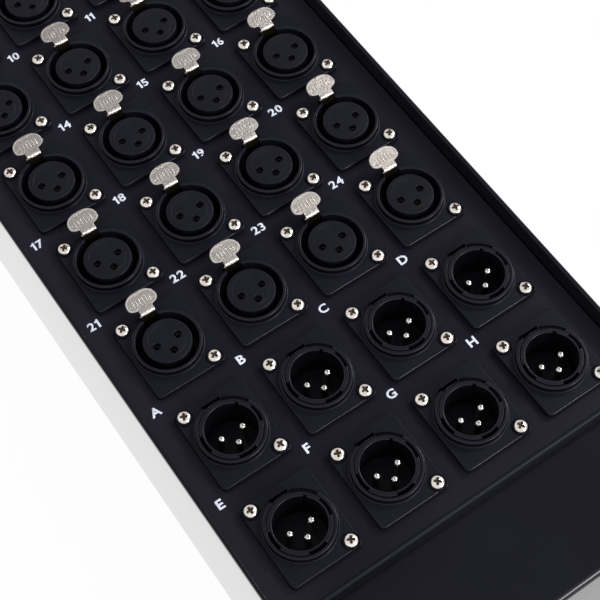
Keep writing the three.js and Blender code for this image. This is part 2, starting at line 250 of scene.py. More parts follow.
# Without a given coat the gloss is on the edges alone, where hands have polished them
def powderCoat(name, s):
    p = Paint(bpy.data.materials.new(name))
    fine = p.grain(s["grainSize"])
    broad = p.grain(s["cloudSize"], shift=s["cloudShift"])
    colour = p.blend(p.ramp(broad, s["dustStops"]), s["colour"], s["dust"])
    # Painted light: lighter towards the side walls, where their shade falls
    if "paintedLightAlong" in s:
        across = p.node("ShaderNodeSeparateXYZ", {}, {"Vector": p.place()}, "X") / mm
        along = p.node("ShaderNodeMapRange", {}, {
            "Value": p.node("ShaderNodeMath", {"operation": "ABSOLUTE"}, {0: across}),
            "From Min": s["paintedLightFrom"], "From Max": s["paintedLightTo"]})
        colour = p.blend(along, colour, s["paintedLightAlong"])
    gloss = s.get("coat")
    if gloss is None:
        gloss = p.edges(s["edgeRadius"])
        spots = p.ramp(p.grain(s["rubbedSize"], 4.0, shift=s["rubbedShift"]), s["rubbedStops"])
        colour = p.blend(gloss * spots, colour, s["rubbed"])
    return p.surface({
        "Base Color": colour, "Roughness": s["roughness"] + (broad + fine - 1) * s["roughnessSpread"],
        "Specular IOR Level": s["specular"], "Coat Weight": gloss, "Coat Roughness": s["coatRoughness"],
        "Coat IOR": s["coatIor"], "Normal": p.bump(fine, s["grainDepth"]),
    })


# Moulded plastic of the inserts: even, a little duller than the shells, with flow marks
insertPlastic = {
    "colour": (13, 13, 22), "pale": (22, 22, 33), "paleStops": [(0.3, 0), (0.8, 0.5)], "flowSize": 5,
    "flowStretch": (1, 0.6, 1), "grainSize": 0.16, "grainDepth": 0.006, "roughness": 0.42,
    "roughnessSpread": 0.12, "specular": 0.14,
}


def mouldedPlastic(name, s):
    p = Paint(bpy.data.materials.new(name))
    flow = p.grain(s["flowSize"], 2.0, s["flowStretch"])
    return p.surface({
        "Base Color": p.blend(p.ramp(flow, s["paleStops"]), s["colour"], s["pale"]),
        "Roughness": s["roughness"] + (flow - 0.5) * s["roughnessSpread"],
        "Specular IOR Level": s["specular"], "Normal": p.bump(p.grain(s["grainSize"], 2.0), s["grainDepth"]),
    })


# Plated metal: nickel and silver, with a fine texture, tarnish in patches and bright edges
latchPlate = {
    "colour": (181, 174, 170), "tarnish": (154, 146, 139), "tarnishStops": [(0.38, 0), (0.72, 0.8)],
    "roughness": 0.3, "roughnessSpread": 0.22, "pitSize": 0.34, "pitDepth": 0.12, "patchSize": 1.6,
    "patchShift": 0.7, "edgeRadius": 0.3,
}
# A darker copy of the plate for the latch's leg: painted shade
paintedShadePlate = dict(latchPlate, colour=(62, 56, 46), tarnish=(46, 40, 32), roughness=0.42)
# A lighter copy of the plate for the coined rim: painted highlight
rimHighlightPlate = dict(latchPlate, colour=(238, 232, 228), tarnish=(214, 207, 201), roughness=0.28, pitDepth=0.03)
screwPlate = dict(latchPlate, colour=(240, 236, 232), tarnish=(198, 184, 170), roughness=0.24,
                  pitSize=0.7, pitDepth=0.03, patchSize=1.1)
pinPlate = dict(latchPlate, colour=(222, 220, 216), tarnish=(168, 162, 154), roughness=0.2,
                pitSize=0.6, pitDepth=0.002)
sleevePlate = dict(latchPlate, colour=(96, 90, 84), tarnish=(60, 54, 48), roughness=0.5,
                   pitSize=0.6, pitDepth=0.01, patchSize=0.8)
glandPlate = dict(latchPlate, colour=(176, 174, 170), tarnish=(136, 133, 128), roughness=0.32,
                  pitSize=0.6, pitDepth=0.012, patchSize=9, edgeRadius=0.6)


def platedMetal(name, s):
    p = Paint(bpy.data.materials.new(name))
    patches = p.grain(s["patchSize"], shift=s["patchShift"])
    tarnish = p.ramp(patches, s["tarnishStops"]) * (1 - p.edges(s["edgeRadius"]))
    return p.surface({
        "Base Color": p.blend(tarnish, s["colour"], s["tarnish"]), "Metallic": 1.0,
        "Roughness": s["roughness"] + (patches - 0.5) * s["roughnessSpread"],
        "Normal": p.bump(p.grain(s["pitSize"]), s["pitDepth"]),
    })


# Screen print: pale ink, thinner in places, so the coat shows through a little
printInk = {
    "colour": (222, 226, 240), "thin": (172, 177, 194), "thinStops": [(0.3, 0.7), (0.6, 0)],
    "blotSize": 0.5, "blotDepth": 0.006, "roughness": 0.55,
}


def inkPrint(name, s):
    p = Paint(bpy.data.materials.new(name))
    blots = p.grain(s["blotSize"])
    return p.surface({
        "Base Color": p.blend(p.ramp(blots, s["thinStops"]), s["colour"], s["thin"]),
        "Roughness": s["roughness"], "Normal": p.bump(blots, s["blotDepth"])})


# Soft parts: the gland's seal and the jackets of the loom. The bottom of the screws' cross, with old
# dirt and painted shade in it, is made in the same way.
sealRubber = {
    "colour": (24, 24, 25), "pale": (44, 44, 45), "size": 1.4, "depth": 0.03, "roughness": 0.72,
    "roughnessSpread": 0.15, "specular": 0.3,
}
loomRubber = dict(sealRubber, colour=(20, 20, 22), pale=(38, 38, 42), size=3.0, depth=0.02, roughness=0.6)
crossDirtAndShade = dict(sealRubber, colour=(60, 48, 40), pale=(104, 88, 76), size=0.5, depth=0.04, roughness=0.6)


def rubber(name, s):
    p = Paint(bpy.data.materials.new(name))
    spots = p.grain(s["size"], 4.0)
    return p.surface({
        "Base Color": p.blend(spots, s["colour"], s["pale"]),
        "Roughness": s["roughness"] + (spots - 0.5) * s["roughnessSpread"],
        "Specular IOR Level": s["specular"], "Normal": p.bump(spots, s["depth"])})


finish = {
    "panel": powderCoat("panel_coat", topCoat),
    "panelBendShade": powderCoat("panel_bend_shade", bendShadeCoat),
    "tray": powderCoat("tray_coat", trayCoat),
    "trayWall": powderCoat("tray_wall_coat", wallCoat),
    "shell": powderCoat("shell_coat", shellCoat),
    "shellEdgePolishAndHighlight": powderCoat("shell_edge_polish_and_highlight", edgePolishAndHighlightCoat),
    "shellSideShade": powderCoat("shell_side_shade", sideShadeCoat),
    "insert": mouldedPlastic("insert_plastic", insertPlastic),
    "latch": platedMetal("latch_plate", latchPlate),
    "latchPaintedShade": platedMetal("latch_painted_shade", paintedShadePlate),
    "latchRimHighlight": platedMetal("latch_rim_highlight", rimHighlightPlate),
    "screw": platedMetal("screw_plate", screwPlate),
    "pin": platedMetal("pin_plate", pinPlate),
    "sleeve": platedMetal("sleeve_plate", sleevePlate),
    "gland": platedMetal("gland_plate", glandPlate),
    "recess": rubber("cross_dirt_and_shade", crossDirtAndShade),
    "ink": inkPrint("print_ink", printInk),
    "seal": rubber("seal_rubber", sealRubber),
    "loom": rubber("loom_rubber", loomRubber),
}
print("materials made")


# A mesh under construction, in millimetres, made of loops of points joined by faces
class Solid:
    def __init__(self):
        self.bm = bmesh.new()

    def loop(self, points):
        return [self.bm.verts.new(Vector(point) * mm) for point in points]

    def bridge(self, first, second, stuff=0):
        count = len(first)
        for step in range(count):
            after = (step + 1) % count
            self.face((first[step], first[after], second[after], second[step]), stuff)

    def face(self, corners, stuff=0):
        made = self.bm.faces.new(corners)
        made.material_index = stuff
        made.smooth = True

    # Closed skin over a row of loops, with the first and the last filled
    def skin(self, rows, stuff=0):
        loops = [self.loop(row) for row in rows]
        for first, second in zip(loops, loops[1:]):
            self.bridge(first, second, stuff)
        self.face(loops[0][::-1], stuff)
        self.face(loops[-1], stuff)

    # A flat outline carried between two places along X, Y or Z, which are axes 0, 1 and 2
    def run(self, outline, ends, axis, stuff=0):
        self.skin([[(*point[:axis], end, *point[axis:]) for point in outline] for end in ends], stuff)

    # Skin closed on itself over a row of loops, so that a bore can run right through
    def tube(self, rows):
        loops = [self.loop(row) for row in rows]
        for first, second in zip(loops, loops[1:] + loops[:1]):
            self.bridge(first, second)

    # Faces that meet at more than the given angle, in degrees, keep a sharp edge
    def mesh(self, name, *stuffs, sharp=None):
        bmesh.ops.recalc_face_normals(self.bm, faces=self.bm.faces)
        made = bpy.data.meshes.new(name)
        self.bm.to_mesh(made)
        self.bm.free()
        for stuff in stuffs:
            made.materials.append(finish[stuff])
        if sharp:
            made.set_sharp_from_angle(angle=radians(sharp))
        return made


# A circle, or a part of one, at a height
def circle(radius, height, angles, middle=(0, 0)):
    return [(middle[0] + radius * cos(a), middle[1] + radius * sin(a), height) for a in angles]


def evenAngles(count):
    return [2 * pi * step / count for step in range(count)]


# Upright turned piece from (radius, height) points, from its bottom to its top
def turned(solid, profile, count=32, middle=(0, 0), stuff=0):
    solid.skin([circle(radius, height, evenAngles(count), middle) for radius, height in profile], stuff)


# Points of a rounded corner of a profile: a quarter turn between two angles in degrees
def rounding(middle, radius, start, end, steps=4):
    turn = [radians(start + (end - start) * step / steps) for step in range(steps + 1)]
    return [(middle[0] + radius * cos(a), middle[1] + radius * sin(a)) for a in turn]


# The finished mesh of a base with cutters taken out, fine bevels and shading that keeps flats flat
def worked(base, cutter=None, bevel=0.0, segments=2, sharp=32, joint=None):
    work = linked("work", base)
    helpers = []
    for tool, operation in ((joint, "UNION"), (cutter, "DIFFERENCE")):
        if tool is None:
            continue
        helper = linked("helper", tool)
        helpers.append(helper)
        cut = work.modifiers.new(operation, "BOOLEAN")
        cut.operation = operation
        cut.solver = "EXACT"
        cut.object = helper
    if bevel:
        soften = work.modifiers.new("soften", "BEVEL")
        soften.width = bevel * mm
        soften.segments = segments
        soften.limit_method = "ANGLE"
        soften.angle_limit = radians(sharp)
        soften.use_clamp_overlap = True
    made = evaluated(work)
    made.name = base.name
    for helper in helpers:
        bpy.data.objects.remove(helper)
    bpy.data.objects.remove(work)
    made.shade_smooth()
    made.set_sharp_from_angle(angle=radians(sharp))
    return made


# A piece in the scene: it rides on a body and may stand for CAD nodes, which it hides
def addPiece(name, mesh, body=rootBody, replaces=(), at=(0, 0, 0)):
    piece = linked(name, mesh)
    piece.location = Vector(at)
    even = piece.modifiers.new("even", "WEIGHTED_NORMAL")
    even.keep_sharp = True
    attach(piece, body)
    if replaces:
        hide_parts(*replaces)


# A node's box in millimetres
def boxOf(node):
    return [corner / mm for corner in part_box(node)]


glandLow, glandHigh = boxOf("cable_gland")
glandHeight = (glandLow.z + glandHigh.z) / 2
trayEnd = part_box("base_tray")[1].y / mm


# What both kinds of socket share. Heights are above the face of the flange.
socket = {
    "seat": 0.1, "flangeThickness": 2.0, "flangeCorner": 1.7, "flangeRound": 0.35, "underRound": 0.2,
    "rearRadius": 11.6, "rearRound": 0.6, "footRadius": 11.45, "footFillet": 0.12,
    "stepRise": 0.6, "stepRound": 0.15, "stepRadius": 11.0, "topRadius": 10.9, "topRound": 0.3,
    "screwSide": 2.9, "screwEnd": 2.59, "screwSeatRadius": 2.6, "screwSeatDepth": 0.7, "screwSeatFlare": 0.3,
    "depth": 10.5, "angleStep": 5, "cornerSteps": 5, "pinCircle": 3.81, "footClear": 0.2, "nearLean": 0.3,
    "cutOver": 1,
}
inputShell = {
    "rise": 2.4, "innerRadius": 9.98, "innerRound": 0.15, "insertRadius": 7.75, "insertDrop": -0.1,
    "insertRound": 0.4, "middleRadius": 2, "lineRadius": 5.85, "lineWidth": 0.12, "lineDepth": 0.08,
    "holeRadius": 1.25, "holeFlare": 0.12, "holeDepth": 8,
    "slotHalfWidth": 2.8, "slotNear": 8.75, "slotFar": 12.8, "slotDepth": 4.9,
}
returnShell = {
    "rise": 2.4, "innerRadius": 9.9, "innerRound": 0.12, "lipRadius": 9.6, "lipRise": 0.25,
    "lipRound": 0.15, "grooveDepth": 1.1, "boreRadius": 8.2, "boreRound": 0.25,
    "keyAt": 46.5, "keyAngle": 7.5, "keyRadius": 8.75, "keyDepth": 5,
    "recessAt": 51, "recessAngle": 47, "recessRadius": 10.85, "recessDepth": 0.6,
    "slotInner": 8.8, "slotOuter": 9.7, "slotAngle": 37, "slotDepth": 3.5,
    "windowAt": 92, "windowAngle": 33, "windowNear": 10.15, "windowFar": 11.2, "windowDepth": 3.5,
    "bossHalfWidth": 3.45, "bossNear": 10.4, "bossFar": 11.55, "bossRise": 2.3, "bossRoot": 0.5,
    "pinRadius": 1.25, "pinDrop": -0.4, "pinFlat": 0.1,
}
flangeLow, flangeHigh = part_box("return_socket_A")
flangeHalfX = (flangeHigh.x - flangeLow.x) / 2 / mm
flangeHalfY = (flangeHigh.y - flangeLow.y) / 2 / mm
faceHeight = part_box("connector_panel")[1].z / mm + socket["seat"] + socket["flangeThickness"]
rearHeight = flangeLow.z / mm - faceHeight
pinPlaces = [(socket["pinCircle"] * cos(a), socket["pinCircle"] * sin(a)) for a in (pi, 0, -pi / 2)]


# Every direction in which the sockets' loops have a point: even steps, and more at the corners
def socketAngles():
    corner = socket["flangeCorner"]
    low = degrees(atan2(flangeHalfY - corner, flangeHalfX))
    high = degrees(atan2(flangeHalfY, flangeHalfX - corner))
    steps = socket["cornerSteps"]
    quarter = [low + (high - low) * step / steps for step in range(steps + 1)]
    quarter += [step for step in range(0, 91, socket["angleStep"]) if not low - 1 < step < high + 1]
    turn = {round(a % 360, 4) for q in quarter for a in (q, 180 - q, 180 + q, 360 - q)}
    return [radians(a) for a in sorted(turn)]


turnAngles = socketAngles()


# The flange's rounded outline, drawn in by an inset
def flangeLoop(inset, height):
    halfX = flangeHalfX - inset
    halfY = flangeHalfY - inset
    corner = socket["flangeCorner"] - inset
    points = []
    for a in turnAngles:
        across, along = abs(cos(a)), abs(sin(a))
        reach = min(halfX / max(across, 1e-9), halfY / max(along, 1e-9))
        middleX, middleY = halfX - corner, halfY - corner
        if reach * across > middleX and reach * along > middleY:
            toward = middleX * across + middleY * along
            reach = toward + sqrt(max(0, toward ** 2 - middleX ** 2 - middleY ** 2 + corner ** 2))
        points.append((reach * cos(a), reach * sin(a), height))
    return points


# Rows of a socket's turned skin, as (loop, stuff). The strip that ends at a row gets its stuff: 0 is
# the shell, 1 the insert, 2 a polished edge with a painted highlight and 3 an upright side in painted shade.
def ringRows(profile, stuff, first=None):
    rows = [(circle(*point, turnAngles), stuff) for point in profile]
    if first is not None:
        rows[0] = (rows[0][0], first)
    return rows


# Rear body and flange up to the foot of the shell, then the shell's low step and its rounded rim
def outerRows(shell):
    s = socket
    rows = ringRows([(s["rearRadius"] - s["rearRound"], rearHeight),
                     (s["rearRadius"], rearHeight + s["rearRound"]),
                     (s["rearRadius"], -s["flangeThickness"])], 0)
    rows.append((flangeLoop(s["underRound"], -s["flangeThickness"]), 0))
    rows.append((flangeLoop(0, -s["flangeThickness"] + s["underRound"]), 0))
    for index, (out, height) in enumerate(rounding((0, -s["flangeRound"]), s["flangeRound"], 0, 90)):
        rows.append((flangeLoop(s["flangeRound"] - out, height), 2 if index else 0))
    foot = (s["footRadius"] + s["footFillet"], s["footFillet"])
    rows += ringRows(rounding(foot, s["footFillet"], 270, 180, 3), 0)
    step = (s["footRadius"] - s["stepRound"], s["stepRise"] - s["stepRound"])
    rows += ringRows(rounding(step, s["stepRound"], 0, 90, 3), 2, 0)
    rows += ringRows([(s["stepRadius"], s["stepRise"])], 0)
    top = (s["topRadius"] - s["topRound"], shell["rise"] - s["topRound"])
    rows += ringRows(rounding(top, s["topRound"], 0, 90, 4), 2, 3)
    r = shell["innerRound"]
    return rows + ringRows(rounding((shell["innerRadius"] + r, shell["rise"] - r), r, 90, 180, 3), 2, 0)


# Cutter for a round hole with a flared mouth
def holeCutter(solid, radius, bottom, top, flare, place, stuff=0, count=24):
    turned(solid, [(radius, bottom), (radius, top - flare), (radius + flare, top),
                   (radius + 2 * flare, top + flare)], count, place, stuff)


def screwPlaces():
    x = flangeHalfX - socket["screwSide"]
    y = flangeHalfY - socket["screwEnd"]
    return [(-x, y), (x, -y)]


def screwSeats(solid):
    s = socket
    for place in screwPlaces():
        holeCutter(solid, s["screwSeatRadius"], -s["screwSeatDepth"], 0, s["screwSeatFlare"], place, 0, 32)


# Arc shaped cutter between two radii, with its outer side straight across +Y when asked
def arcCutter(solid, inner, outer, middle, width, bottom, top, stuff=0, straight=False):
    steps = 8
    turn = [radians(middle - width / 2 + width * step / steps) for step in range(steps + 1)]
    outline = [(outer / sin(a) if straight else outer, a) for a in turn] + [(inner, a) for a in turn[::-1]]
    solid.run([(r * cos(a), r * sin(a)) for r, a in outline], (bottom, top), 2, stuff)


def boxCutter(solid, low, high, stuff=0):
    corners = ((low[0], low[1]), (high[0], low[1]), (high[0], high[1]), (low[0], high[1]))
    solid.run(corners, (low[2], high[2]), 2, stuff)


socketStuff = ("shell", "insert", "shellEdgePolishAndHighlight", "shellSideShade")


def socketSkin(rows):
    solid = Solid()
    loops = [solid.loop(row) for row, _ in rows]
    for index, (first, second) in enumerate(zip(loops, loops[1:])):
        solid.bridge(first, second, rows[index + 1][1])
    solid.face(loops[0][::-1], 0)
    solid.face(loops[-1], 1)
    return solid.mesh("socket", *socketStuff)


# Of the flange's edges only the near one keeps the polished edge coat, whose lighter tone is a
# painted highlight where the light catches it
def rubbed(mesh):
    for face in mesh.polygons:
        outside = face.center.xy.length > (socket["footRadius"] + socket["footClear"]) * mm
        if face.material_index == 2 and outside and face.normal.y > -socket["nearLean"]:
            face.material_index = 0
    return mesh


def inputMesh():
    s = inputShell
    rows = outerRows(s)
    rows += ringRows([(s["innerRadius"], -socket["depth"])], 0)
    top = s["rise"] - s["insertDrop"]
    r = s["insertRound"]
    rows += ringRows([(s["insertRadius"], -socket["depth"])], 1)
    rows += ringRows(rounding((s["insertRadius"] - r, top - r), r, 0, 90, 4), 1)
    line, wide = s["lineRadius"], s["lineWidth"]
    rows += ringRows([(line + wide, top), (line, top - s["lineDepth"]), (line - wide, top),
                      (s["middleRadius"], top)], 1)
    cutter = Solid()
    for place in pinPlaces:
        holeCutter(cutter, s["holeRadius"], top - s["holeDepth"], top, s["holeFlare"], place, 1)
    screwSeats(cutter)
    boxCutter(cutter, (-s["slotHalfWidth"], s["slotNear"], -s["slotDepth"]),
              (s["slotHalfWidth"], s["slotFar"], s["rise"] + socket["cutOver"]))
    return rubbed(worked(socketSkin(rows), cutter.mesh("input_cuts", "shell", "insert")))


# The outer ring of a return, the groove inside it, and the insert's lip round the bore. The lip is
# notched at three sides, and at the fourth the ring has a boss with a window. The groove is wider over
# one stretch, and the bore has a small key notch there.
def returnMesh():
    s = returnShell
    rows = outerRows(s)
    floor = s["rise"] - s["grooveDepth"]
    lipTop = s["rise"] + s["lipRise"]
    rows += ringRows([(s["innerRadius"], floor)], 0)
    r = s["lipRound"]
    rows += ringRows([(s["lipRadius"], floor)], 1)
    rows += ringRows(rounding((s["lipRadius"] - r, lipTop - r), r, 0, 90, 3), 2, 1)
    r = s["boreRound"]
    rows += ringRows(rounding((s["boreRadius"] + r, lipTop - r), r, 90, 180, 4), 2, 1)
    rows += ringRows([(s["boreRadius"], -socket["depth"])], 3)
    cutter = Solid()
    screwSeats(cutter)
    over = s["rise"] + socket["cutOver"]
    for middle in (0, 180, 270):
        arcCutter(cutter, s["slotInner"], s["slotOuter"], middle, s["slotAngle"], -s["slotDepth"], over, 1)
    arcCutter(cutter, s["windowNear"], s["windowFar"], s["windowAt"], s["windowAngle"], -s["windowDepth"],
              over, 1, straight=True)
    # The wider stretch of the groove and the key notch are lined with the sides' painted shade
    arcCutter(cutter, s["lipRadius"], s["recessRadius"], s["recessAt"], s["recessAngle"],
              s["rise"] - s["recessDepth"], over, 3)
    arcCutter(cutter, s["boreRadius"] - 1, s["keyRadius"], s["keyAt"], s["keyAngle"], -s["keyDepth"], over, 3)
    boss = Solid()
    boxCutter(boss, (-s["bossHalfWidth"], s["bossNear"], -s["bossRoot"]),
              (s["bossHalfWidth"], s["bossFar"], s["bossRise"]))
    cuts = cutter.mesh("return_cuts", *socketStuff)
    return rubbed(worked(socketSkin(rows), cuts, joint=boss.mesh("boss", "shell")))


# Contact pins of one return, standing on the floor of its bore
def pinProfile():
    s = returnShell
    radius, top, flat = s["pinRadius"], -s["pinDrop"], s["pinFlat"]
    dome = [(radius * (flat + (1 - flat) * x), top - radius * (1 - y))
            for x, y in rounding((0, 0), 1, 8, 82, 6)]
    return [(radius, -socket["depth"])] + dome


# Split sleeves of the female contacts, a little below the face of the insert
contact = {"outer": 1.12, "inner": 0.86, "drop": 1.8, "length": 5, "round": 0.08}


def sleeveMesh():
    s = contact
    top = inputShell["rise"] - inputShell["insertDrop"] - s["drop"]
    low = top - s["length"]
    solid = Solid()
    profile = [(s["outer"], low), (s["outer"], top - s["round"]), (s["outer"] - s["round"], top),
               (s["inner"] + s["round"], top), (s["inner"], top - s["round"]), (s["inner"], low)]
    solid.tube([circle(radius, height, evenAngles(20)) for radius, height in profile])
    return solid.mesh("sleeve", "sleeve")


# Push latch: a rounded tab that slopes up over the flange, and a leg that goes down into the
# socket's slot. Places along the strip are measured up the slope from the corner over the leg.
latch = {
    "rise": 4.4, "slope": 15, "thickness": 0.9, "width": 10.4, "length": 6.0, "widest": 0.38, "strip": 7.85,
    "farPower": 2.3, "nearPower": 2.7, "neck": 4.9, "legTop": 10.6, "legFoot": 9.6, "knee": 2.2, "depth": 4.6,
    "bend": 1.5, "edge": 0.34, "ear": 0.38, "earReach": 0.65, "earPlace": (10.75, 3.85),
    "ribs": 6, "ribPitch": 1.15, "ribWidth": 0.42, "ribLength": 2.1, "ribRise": 0.16,
    "ribTop": (0.5, 0.95), "shadeLean": 0.6, "rimIn": 0.12, "rimWidth": 0.38, "rimRise": 0.07,
    "rimStart": 0.3, "earTips": [(0.2, 1), (0.06, 0.8), (0, 0.4)],
    "bendSteps": 8, "headSteps": 12, "lastPlace": 0.998,
}


# From a place along the slope and a height over the strip's upper face to Y and Z
def onSlope(along, over):
    s = latch
    a = radians(s["slope"])
    return (s["legTop"] + along * cos(a) - over * sin(a), s["rise"] + along * sin(a) + over * cos(a))


# Half width of the strip at a place along it, over the tab and its neck
def stripHalfWidth(along):
    s = latch
    near = s["length"] * s["widest"]
    far = s["length"] - near
    away = along - (s["strip"] - far)
    share, power = (away / far, s["farPower"]) if away > 0 else (-away / near, s["nearPower"])
    head = s["width"] / 2 * (1 - min(1, share) ** power) ** (1 / power)
    return head if away > 0 else max(head, s["neck"] / 2)


# Centre line of the strip past its neck, as (y, z, lean): round the bend and down the leg
def legPath():
    s = latch
    half = s["thickness"] / 2
    start = radians(s["slope"])
    lean = pi / 2 - atan2(s["legTop"] - s["legFoot"], s["rise"] + s["knee"])
    reach = s["bend"] * tan((lean - start) / 2)
    middleY, middleZ = onSlope(reach, -s["bend"])
    path = []
    for step in range(s["bendSteps"] + 1):
        a = start + (lean - start) * step / s["bendSteps"]
        radius = s["bend"] - half
        path.append((middleY - radius * sin(a), middleZ + radius * cos(a), a))
    mean = (lean + pi / 2) / 2
    path.append((s["legFoot"] + half * sin(mean), -s["knee"] - half * cos(mean), mean))
    path.append((s["legFoot"] + half, -s["depth"], pi / 2))
    return path


def latchMesh():
    s = latch
    solid = Solid()
    half = s["thickness"] / 2
    slope = radians(s["slope"])
    far = s["length"] * (1 - s["widest"])
    near = s["length"] - far
    middle = s["strip"] - far
    steps = s["headSteps"]
    places = [middle + far * cos(pi / 2 * step / steps) for step in range(1, steps)]
    places += [middle - near * sin(pi / 2 * step / steps) for step in range(steps)]
    places += [middle - near * s["lastPlace"]]
    rows = [(*onSlope(along, -half), slope, stripHalfWidth(along)) for along in places]
    rows += [(y, z, lean, s["neck"] / 2) for y, z, lean in legPath()]
    sections = []
    for y, z, lean, wide in rows:
        outY, outZ = -sin(lean) * half, cos(lean) * half
        sections.append([(-wide, y - outY, z - outZ), (wide, y - outY, z - outZ),
                         (wide, y + outY, z + outZ), (-wide, y + outY, z + outZ)])
    solid.skin(sections)
    plate = worked(solid.mesh("latch", "latch"), bevel=s["edge"], segments=4, sharp=40)
    made = Solid()
    for rib in range(s["ribs"]):
        x = (rib - (s["ribs"] - 1) / 2) * s["ribPitch"]
        outline = rounding((x, middle + s["ribLength"] / 2), s["ribWidth"] / 2, 0, 180, 6)
        outline += rounding((x, middle - s["ribLength"] / 2), s["ribWidth"] / 2, 180, 360, 6)
        rowsUp = [(1, 1, -half / 2), (1, 1, s["ribRise"] / 2), (*s["ribTop"], s["ribRise"])]
        made.skin([[(x + (px - x) * across, *onSlope(middle + (py - middle) * along, over))
                    for px, py in outline] for across, along, over in rowsUp])
    # A coined rim round the head, from one corner of the neck to the other. Its plate is lighter
    # than the tab's: painted highlight.
    widths = [(stripHalfWidth(along), along) for along in places]
    side = [(wide, along) for wide, along in widths if wide > s["neck"] / 2 + s["rimStart"]]
    border = [(-x, along) for x, along in side[::-1]] + side
    centre = Vector((0, middle))
    rim = []
    for point in border:
        away = Vector(point) - centre
        outer = centre + away * (1 - s["rimIn"] / away.length)
        inner = centre + away * (1 - (s["rimIn"] + s["rimWidth"]) / away.length)
        rim.append([(x, *onSlope(along, over)) for x, along, over in (
            (*outer, -half), (*outer, s["rimRise"]), (*inner, s["rimRise"]), (*inner, -half))])
    made.skin(rim, 2)
    # The rolled ear at the left of the bend
    earY, earZ = s["earPlace"]
    end = -s["neck"] / 2 - s["earReach"]
    tips = [(-1, 1)] + [(end + back, share) for back, share in s["earTips"]]
    made.skin([[(x, earY + share * s["ear"] * cos(a), earZ + share * s["ear"] * sin(a))
                for a in evenAngles(12)] for x, share in tips])
    made.bm.from_mesh(plate)
    joined = made.mesh("latch", "latch", "latchPaintedShade", "latchRimHighlight", sharp=40)
    # The leg under the bend, down in the socket's shade, gets the darker plate: painted shade
    for face in joined.polygons:  # the leg, under the bend
        if face.normal.y < -s["shadeLean"] and face.center.y < s["legTop"] * mm:
            face.material_index = 1
    return joined


# Cross recess screw: a low dome over a short side, with a tapered cross cut in it
screw = {
    "radius": 2.17, "side": 0.9, "height": 1.9, "seat": 0.35, "crossLength": 2.8, "crossWidth": 0.85,
    "crossDepth": 1.1, "crossTaper": 0.5, "crossFlare": 1.1, "foot": 0.96, "footRise": 0.3, "seed": 7,
}


def screwMesh():
    s = screw
    solid = Solid()
    radius, side, top = s["radius"], s["side"], s["height"]
    profile = [(radius * s["foot"], 0), (radius, side * s["footRise"]), (radius, side)]
    profile += [(radius * x, side + (top - side) * y) for x, y in rounding((0, 0), 1, 12, 84, 7)]
    turned(solid, profile, 32)
    cutter = Solid()
    long, wide = s["crossLength"] / 2, s["crossWidth"] / 2
    plus = [(long, -wide), (long, wide), (wide, wide), (wide, long), (-wide, long), (-wide, wide),
            (-long, wide), (-long, -wide), (-wide, -wide), (-wide, -long), (wide, -long), (wide, -wide)]
    levels = ((s["crossTaper"], top - s["crossDepth"]), (1, top), (s["crossFlare"], top + 1))
    # The walls and bottom of the cross take the recess stuff: dirt and painted shade
    cutter.skin([[(x * share, y * share, height) for x, y in plus] for share, height in levels], 1)
    return worked(solid.mesh("screw", "screw", "recess"), cutter.mesh("cross", "screw", "recess"))


# Copies of one small mesh joined into a single one, each at a place and turned about Z
def gathered(name, mesh, places, *stuffs):
    solid = Solid()
    for place, turn in places:
        before = len(solid.bm.verts)
        solid.bm.from_mesh(mesh)
        solid.bm.verts.ensure_lookup_table()
        fresh = solid.bm.verts[before:]
        bmesh.ops.transform(solid.bm, verts=fresh,
                            matrix=Matrix.Translation(place) @ Matrix.Rotation(turn, 4, "Z"))
    return solid.mesh(name, *stuffs, sharp=32)


inputNumbers = [f"{count:02d}" for count in range(1, 25)]
returnLetters = "ABCDEFGH"


# The middle of a socket's flange at its face, in metres
def faceOf(node):
    low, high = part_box(node)
    return Vector(((low.x + high.x) / 2, (low.y + high.y) / 2, faceHeight * mm))


faces = {number: faceOf("input_socket_" + number) for number in inputNumbers}
faces.update({letter: faceOf("return_socket_" + letter) for letter in returnLetters})


def makeSockets():
    inputShape, returnShape, latchShape = inputMesh(), returnMesh(), latchMesh()
    for number in inputNumbers:
        addPiece("input_" + number, inputShape,
                 replaces=["input_socket_" + number], at=faces[number])
        addPiece("latch_" + number, latchShape, "push_tab_" + number,
                 ["push_tab_" + number], faces[number])
    for letter in returnLetters:
        addPiece("return_" + letter, returnShape,
                 replaces=["return_socket_" + letter], at=faces[letter])
    print("sockets and latches made")


def makeScrews():
    random = Random(screw["seed"])
    places = []
    for face in faces.values():
        for x, y in screwPlaces():
            place = face + Vector((x, y, -screw["seat"])) * mm
            places.append((place, random.uniform(0, pi / 2)))
    addPiece("flange_screws", gathered("flange_screws", screwMesh(), places, "screw", "recess"))
    print("screws made")


def makeContacts():
    solid = Solid()
    turned(solid, pinProfile(), 20)
    pin = solid.mesh("pin", "pin")
    pins = [(faces[letter] + Vector((x, y, 0)) * mm, 0) for letter in returnLetters for x, y in pinPlaces]
    addPiece("return_pins", gathered("return_pins", pin, pins, "pin"))
    sleeves = [(faces[number] + Vector((x, y, 0)) * mm, 0) for number in inputNumbers for x, y in pinPlaces]
    addPiece("input_sleeves", gathered("input_sleeves", sleeveMesh(), sleeves, "sleeve"))
    print("contacts made")


# Printed numbers and letters, up and to the left of each socket. Widths and gaps are shares of the
# height, and so are the corners of the figure one, which the plain font draws as a bare bar.
label = {
    "figureOffset": (-15.38, 19.93), "letterOffset": (-15.06, 19.67), "height": 3.18,
    "stretch": 1.08, "weight": 0.03, "ink": 0.03, "gap": 0.13, "curveSteps": 6,
    "one": [(0.42, 0), (0.42, 1), (0.27, 1), (0.21, 0.88), (0.03, 0.82), (0.03, 0.66), (0.21, 0.67),
            (0.21, 0)],
}


